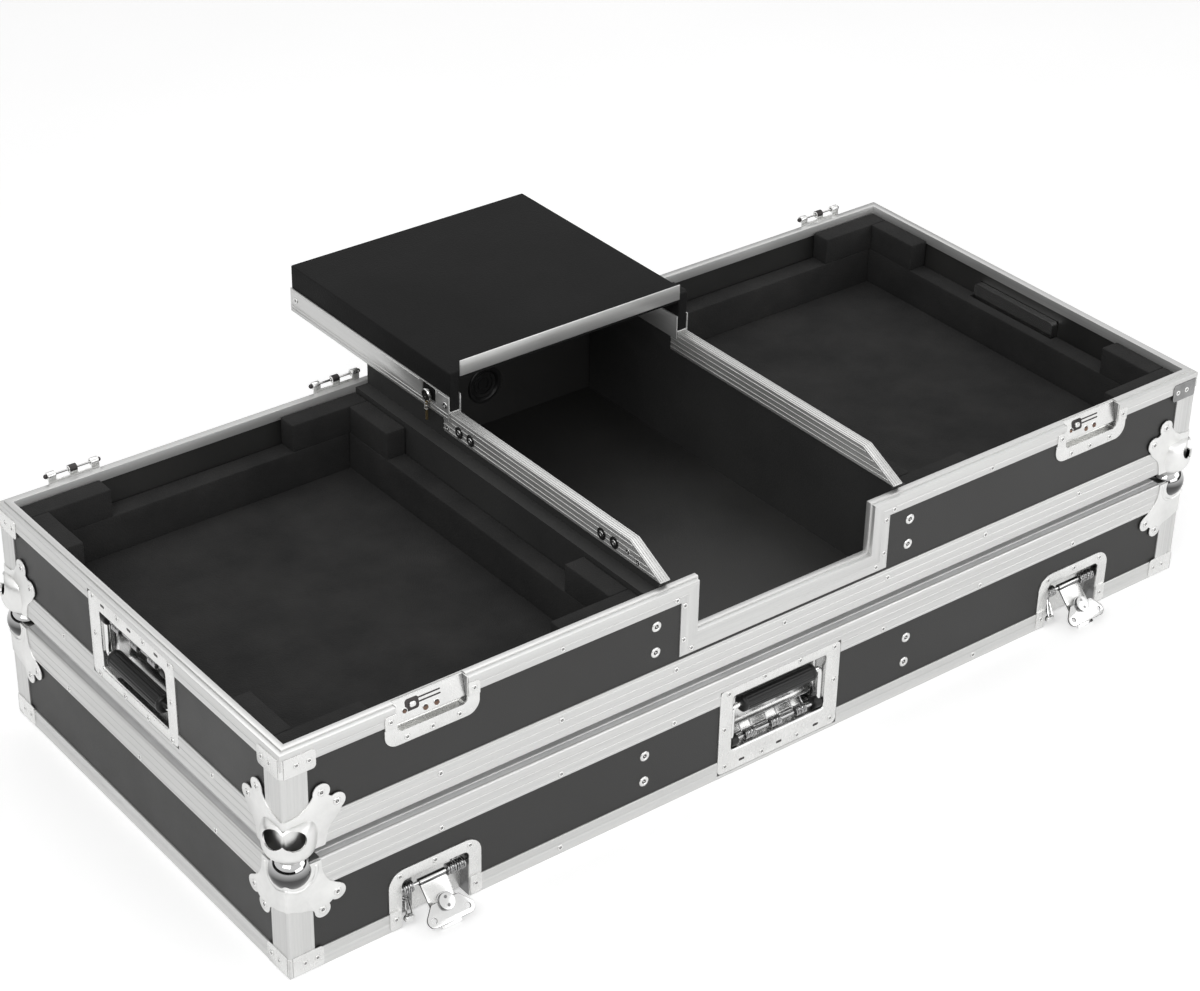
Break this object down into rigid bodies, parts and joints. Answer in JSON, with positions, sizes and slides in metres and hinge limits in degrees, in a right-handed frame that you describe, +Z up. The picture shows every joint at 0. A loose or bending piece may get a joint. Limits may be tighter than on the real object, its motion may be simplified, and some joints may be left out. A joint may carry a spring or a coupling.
{
  "type": "dj coffin case",
  "caption": "Flight case for turntables and a mixer, open on its upturned lid, with a sliding laptop shelf, latches and spring handles.",
  "frame": {"origin": "middle of the bounding box, on the floor that the upturned lid stands on", "axes": "+X to the right along the case, +Y to the rear, +Z up; the notch and the latches are on -Y"},
  "size_m": [1.2008, 0.6866, 0.348],
  "materials": {
    "laminate": "plywood with a dark grey textured laminate",
    "aluminium": "extruded, satin, with fine lines along its length",
    "steel": "pressed and zinc plated",
    "chrome": "pressed and bright plated",
    "grip": "steel bail with a moulded rubber grip",
    "foam": "charcoal packing foam",
    "plastic": "black moulded grommet"
  },
  "bodies": {
    "lid": {"lid_top_panel": "laminate", "lid_front_panel": "laminate", "lid_rear_panel": "laminate", "lid_left_panel": "laminate", "lid_right_panel": "laminate", "lid_edge_frame": "aluminium", "lid_rim_frame": "aluminium", "lid_ball_corner_front_left": "chrome", "lid_ball_corner_front_right": "chrome", "lid_ball_corner_rear_right": "chrome", "lid_ball_corner_rear_left": "chrome", "lid_handle_dish": "steel", "latch_left_dish": "steel", "latch_right_dish": "steel", "lid_hinge_outer_left": "steel", "lid_hinge_inner_left": "steel", "lid_hinge_inner_right": "steel", "lid_hinge_outer_right": "steel"},
    "base": {"base_bottom_panel": "laminate", "base_front_panel": "laminate", "base_rear_panel": "laminate", "base_left_panel": "laminate", "base_right_panel": "laminate", "base_edge_frame": "aluminium", "base_rim_frame": "aluminium", "base_stack_corner_front_left": "chrome", "base_stack_corner_front_right": "chrome", "base_stack_corner_rear_right": "chrome", "base_stack_corner_rear_left": "chrome", "base_left_handle_dish": "steel", "base_right_handle_dish": "steel", "keeper_left": "steel", "keeper_right": "steel", "rail_left": "aluminium", "rail_right": "aluminium", "partition_left": "laminate", "partition_right": "laminate", "foam_left": "foam", "foam_right": "foam", "cable_grommet": "plastic", "base_hinge_outer_left": "steel", "base_hinge_inner_left": "steel", "base_hinge_inner_right": "steel", "base_hinge_outer_right": "steel"},
    "shelf": {"shelf_tray": "laminate", "shelf_front_strip": "aluminium", "shelf_runner_left": "aluminium", "shelf_runner_right": "aluminium"},
    "shelf_lock_left_body": {"shelf_lock_left": "steel"},
    "shelf_lock_right_body": {"shelf_lock_right": "steel"},
    "lid_handle": {"lid_handle_bail": "grip"},
    "base_left_handle": {"base_left_handle_bail": "grip"},
    "base_right_handle": {"base_right_handle_bail": "grip"},
    "latch_left_arm_body": {"latch_left_arm": "steel"},
    "latch_left_wing_body": {"latch_left_wing": "chrome"},
    "latch_left_claw_body": {"latch_left_claw": "chrome"},
    "latch_right_arm_body": {"latch_right_arm": "steel"},
    "latch_right_wing_body": {"latch_right_wing": "chrome"},
    "latch_right_claw_body": {"latch_right_claw": "chrome"}
  },
  "joints": [
    {"name": "base_lift", "type": "slide", "parent": "lid", "child": "base", "axis": [0, 0, 1], "range_m": [0, 0.3]},
    {"name": "shelf_slide", "type": "slide", "parent": "base", "child": "shelf", "axis": [0, -1, 0], "range_m": [0, 0.29]},
    {"name": "shelf_lock_left_pull", "type": "slide", "parent": "shelf", "child": "shelf_lock_left_body", "axis": [0, 0, 1], "range_m": [0, 0.008], "stiffness_N_per_m": 200, "springref_m": -0.004},
    {"name": "shelf_lock_right_pull", "type": "slide", "parent": "shelf", "child": "shelf_lock_right_body", "axis": [0, 0, 1], "range_m": [0, 0.008], "stiffness_N_per_m": 200, "springref_m": -0.004},
    {"name": "lid_handle_swing", "type": "hinge", "parent": "lid", "child": "lid_handle", "pos_m": [0, -0.30719, 0.0365], "axis": [1, 0, 0], "range_deg": [0, 85], "stiffness_Nm_per_rad": 0.25, "springref_deg": -45.84},
    {"name": "base_left_handle_swing", "type": "hinge", "parent": "base", "child": "base_left_handle", "pos_m": [-0.5835, -0.05169, 0.2265], "axis": [0, 1, 0], "range_deg": [0, 85], "stiffness_Nm_per_rad": 0.25, "springref_deg": -45.84},
    {"name": "base_right_handle_swing", "type": "hinge", "parent": "base", "child": "base_right_handle", "pos_m": [0.5835, -0.05169, 0.2265], "axis": [0, -1, 0], "range_deg": [0, 85], "stiffness_Nm_per_rad": 0.25, "springref_deg": -45.84},
    {"name": "latch_left_swing", "type": "hinge", "parent": "lid", "child": "latch_left_arm_body", "pos_m": [-0.4265, -0.30669, 0.039], "axis": [1, 0, 0], "range_deg": [-50, 45], "stiffness_Nm_per_rad": 0.1, "springref_deg": -8.59},
    {"name": "latch_left_twist", "type": "hinge", "parent": "latch_left_arm_body", "child": "latch_left_wing_body", "pos_m": [-0.4265, -0.32578, 0.01991], "axis": [0, -0.7071, 0.7071], "range_deg": [0, 180]},
    {"name": "latch_left_draw", "type": "slide", "parent": "latch_left_arm_body", "child": "latch_left_claw_body", "axis": [0, 0.7071, 0.7071], "range_m": [0, 0.006]},
    {"name": "latch_right_swing", "type": "hinge", "parent": "lid", "child": "latch_right_arm_body", "pos_m": [0.4265, -0.30669, 0.039], "axis": [1, 0, 0], "range_deg": [-50, 45], "stiffness_Nm_per_rad": 0.1, "springref_deg": -8.59},
    {"name": "latch_right_twist", "type": "hinge", "parent": "latch_right_arm_body", "child": "latch_right_wing_body", "pos_m": [0.4265, -0.32578, 0.01991], "axis": [0, -0.7071, 0.7071], "range_deg": [0, 180]},
    {"name": "latch_right_draw", "type": "slide", "parent": "latch_right_arm_body", "child": "latch_right_claw_body", "axis": [0, 0.7071, 0.7071], "range_m": [0, 0.006]}
  ],
  "couplings": [
    {"joint": "latch_left_twist", "follows": "latch_left_draw", "rad_per_m": 523.6},
    {"joint": "latch_right_twist", "follows": "latch_right_draw", "rad_per_m": 523.6}
  ]
}
